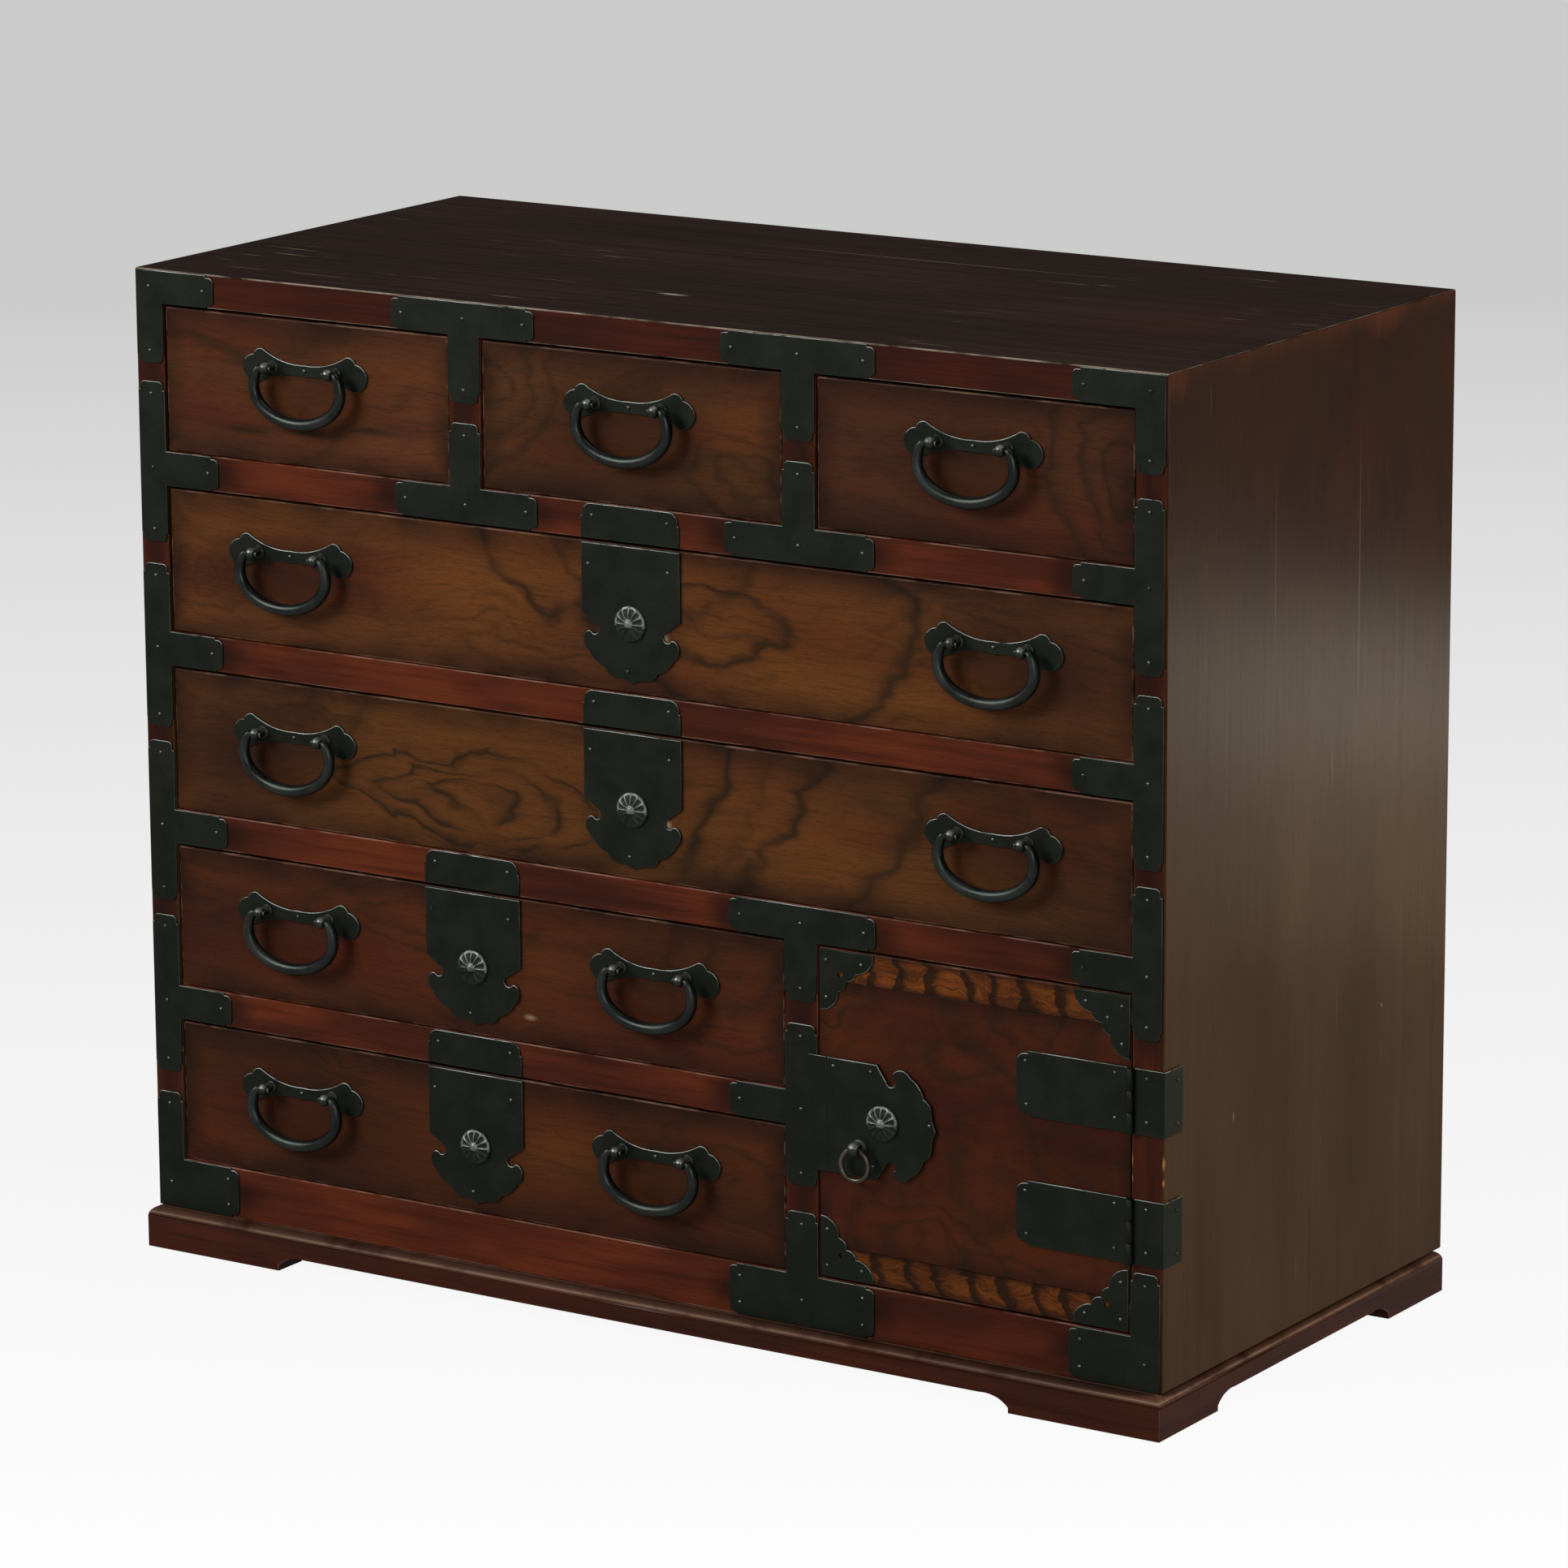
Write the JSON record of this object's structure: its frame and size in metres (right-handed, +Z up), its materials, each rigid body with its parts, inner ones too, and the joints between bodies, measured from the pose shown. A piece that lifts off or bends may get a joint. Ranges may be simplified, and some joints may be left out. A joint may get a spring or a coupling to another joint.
{
  "type": "drawer chest",
  "caption": "Low wooden drawer chest with a small hinged side door, iron straps and lock plates, swinging bail pulls and a plinth with arched feet.",
  "frame": {"origin": "on the floor, under the middle of the whole chest with its pulls", "axes": "+X to the viewer's right along the front, +Y from the front to the back, +Z up"},
  "size_m": [0.9076, 0.437, 0.7683],
  "materials": {
    "ironwork": "black hand-beaten iron with a soft sheen",
    "plain_boards": "bare pale softwood",
    "figured_fronts": "figured wood under brown lacquer",
    "dark_case": "dark stained boards with a worn satin lacquer",
    "plinth": "red-brown lacquer with a worn edge",
    "lacquered_frame": "red-brown lacquer"
  },
  "bodies": {
    "case": {"plinth_frame": "plinth", "left_side_panel": "dark_case", "right_side_panel": "dark_case", "top_panel": "dark_case", "back_panel": "plain_boards", "bottom_panel": "lacquered_frame", "short_shelf": "lacquered_frame", "lower_shelf": "lacquered_frame", "middle_shelf": "lacquered_frame", "upper_shelf": "lacquered_frame", "lower_divider": "lacquered_frame", "upper_divider_left": "lacquered_frame", "upper_divider_right": "lacquered_frame", "upper_hinge_case_leaf": "ironwork", "lower_hinge_case_leaf": "ironwork"},
    "top_left_drawer": {"top_left_drawer_front": "figured_fronts", "top_left_drawer_tray": "plain_boards", "top_left_pull_plate": "ironwork"},
    "top_left_bail": {"top_left_bail": "ironwork"},
    "top_middle_drawer": {"top_middle_drawer_front": "figured_fronts", "top_middle_drawer_tray": "plain_boards", "top_middle_pull_plate": "ironwork"},
    "top_middle_bail": {"top_middle_bail": "ironwork"},
    "top_right_drawer": {"top_right_drawer_front": "figured_fronts", "top_right_drawer_tray": "plain_boards", "top_right_pull_plate": "ironwork"},
    "top_right_bail": {"top_right_bail": "ironwork"},
    "upper_wide_drawer": {"upper_wide_drawer_front": "figured_fronts", "upper_wide_drawer_tray": "plain_boards", "upper_wide_lock_plate": "ironwork", "upper_wide_left_pull_plate": "ironwork", "upper_wide_right_pull_plate": "ironwork"},
    "upper_wide_left_bail": {"upper_wide_left_bail": "ironwork"},
    "upper_wide_right_bail": {"upper_wide_right_bail": "ironwork"},
    "lower_wide_drawer": {"lower_wide_drawer_front": "figured_fronts", "lower_wide_drawer_tray": "plain_boards", "lower_wide_lock_plate": "ironwork", "lower_wide_left_pull_plate": "ironwork", "lower_wide_right_pull_plate": "ironwork"},
    "lower_wide_left_bail": {"lower_wide_left_bail": "ironwork"},
    "lower_wide_right_bail": {"lower_wide_right_bail": "ironwork"},
    "left_upper_drawer": {"left_upper_drawer_front": "figured_fronts", "left_upper_drawer_tray": "plain_boards", "left_upper_lock_plate": "ironwork", "left_upper_left_pull_plate": "ironwork", "left_upper_right_pull_plate": "ironwork"},
    "left_upper_left_bail": {"left_upper_left_bail": "ironwork"},
    "left_upper_right_bail": {"left_upper_right_bail": "ironwork"},
    "left_lower_drawer": {"left_lower_drawer_front": "figured_fronts", "left_lower_drawer_tray": "plain_boards", "left_lower_lock_plate": "ironwork", "left_lower_left_pull_plate": "ironwork", "left_lower_right_pull_plate": "ironwork"},
    "left_lower_left_bail": {"left_lower_left_bail": "ironwork"},
    "left_lower_right_bail": {"left_lower_right_bail": "ironwork"},
    "door": {"door_panel": "figured_fronts", "door_lock_plate": "ironwork", "upper_hinge_door_leaf": "ironwork", "lower_hinge_door_leaf": "ironwork"},
    "ring": {"door_ring": "ironwork"}
  },
  "joints": [
    {"name": "top_left_drawer_slide", "type": "slide", "parent": "case", "child": "top_left_drawer", "axis": [0, -1, 0], "range_m": [0, 0.28]},
    {"name": "top_left_bail_swing", "type": "hinge", "parent": "top_left_drawer", "child": "top_left_bail", "pos_m": [-0.292, -0.21395, 0.70405], "axis": [-1, 0, 0], "range_deg": [0, 100]},
    {"name": "top_middle_drawer_slide", "type": "slide", "parent": "case", "child": "top_middle_drawer", "axis": [0, -1, 0], "range_m": [0, 0.28]},
    {"name": "top_middle_bail_swing", "type": "hinge", "parent": "top_middle_drawer", "child": "top_middle_bail", "pos_m": [0, -0.21395, 0.70405], "axis": [-1, 0, 0], "range_deg": [0, 100]},
    {"name": "top_right_drawer_slide", "type": "slide", "parent": "case", "child": "top_right_drawer", "axis": [0, -1, 0], "range_m": [0, 0.28]},
    {"name": "top_right_bail_swing", "type": "hinge", "parent": "top_right_drawer", "child": "top_right_bail", "pos_m": [0.292, -0.21395, 0.70405], "axis": [-1, 0, 0], "range_deg": [0, 100]},
    {"name": "upper_wide_drawer_slide", "type": "slide", "parent": "case", "child": "upper_wide_drawer", "axis": [0, -1, 0], "range_m": [0, 0.28]},
    {"name": "upper_wide_left_bail_swing", "type": "hinge", "parent": "upper_wide_drawer", "child": "upper_wide_left_bail", "pos_m": [-0.309, -0.21395, 0.56145], "axis": [-1, 0, 0], "range_deg": [0, 100]},
    {"name": "upper_wide_right_bail_swing", "type": "hinge", "parent": "upper_wide_drawer", "child": "upper_wide_right_bail", "pos_m": [0.309, -0.21395, 0.56145], "axis": [-1, 0, 0], "range_deg": [0, 100]},
    {"name": "lower_wide_drawer_slide", "type": "slide", "parent": "case", "child": "lower_wide_drawer", "axis": [0, -1, 0], "range_m": [0, 0.28]},
    {"name": "lower_wide_left_bail_swing", "type": "hinge", "parent": "lower_wide_drawer", "child": "lower_wide_left_bail", "pos_m": [-0.309, -0.21395, 0.42205], "axis": [-1, 0, 0], "range_deg": [0, 100]},
    {"name": "lower_wide_right_bail_swing", "type": "hinge", "parent": "lower_wide_drawer", "child": "lower_wide_right_bail", "pos_m": [0.309, -0.21395, 0.42205], "axis": [-1, 0, 0], "range_deg": [0, 100]},
    {"name": "left_upper_drawer_slide", "type": "slide", "parent": "case", "child": "left_upper_drawer", "axis": [0, -1, 0], "range_m": [0, 0.28]},
    {"name": "left_upper_left_bail_swing", "type": "hinge", "parent": "left_upper_drawer", "child": "left_upper_left_bail", "pos_m": [-0.309, -0.21395, 0.28265], "axis": [-1, 0, 0], "range_deg": [0, 100]},
    {"name": "left_upper_right_bail_swing", "type": "hinge", "parent": "left_upper_drawer", "child": "left_upper_right_bail", "pos_m": [0.017, -0.21395, 0.28265], "axis": [-1, 0, 0], "range_deg": [0, 100]},
    {"name": "left_lower_drawer_slide", "type": "slide", "parent": "case", "child": "left_lower_drawer", "axis": [0, -1, 0], "range_m": [0, 0.28]},
    {"name": "left_lower_left_bail_swing", "type": "hinge", "parent": "left_lower_drawer", "child": "left_lower_left_bail", "pos_m": [-0.309, -0.21395, 0.14325], "axis": [-1, 0, 0], "range_deg": [0, 100]},
    {"name": "left_lower_right_bail_swing", "type": "hinge", "parent": "left_lower_drawer", "child": "left_lower_right_bail", "pos_m": [0.017, -0.21395, 0.14325], "axis": [-1, 0, 0], "range_deg": [0, 100]},
    {"name": "door_swing", "type": "hinge", "parent": "case", "child": "door", "pos_m": [0.424, -0.20655, 0.1982], "axis": [0, 0, 1], "range_deg": [0, 170]},
    {"name": "ring_swing", "type": "hinge", "parent": "door", "child": "ring", "pos_m": [0.197, -0.21245, 0.1772], "axis": [-1, 0, 0], "range_deg": [0, 90]}
  ]
}
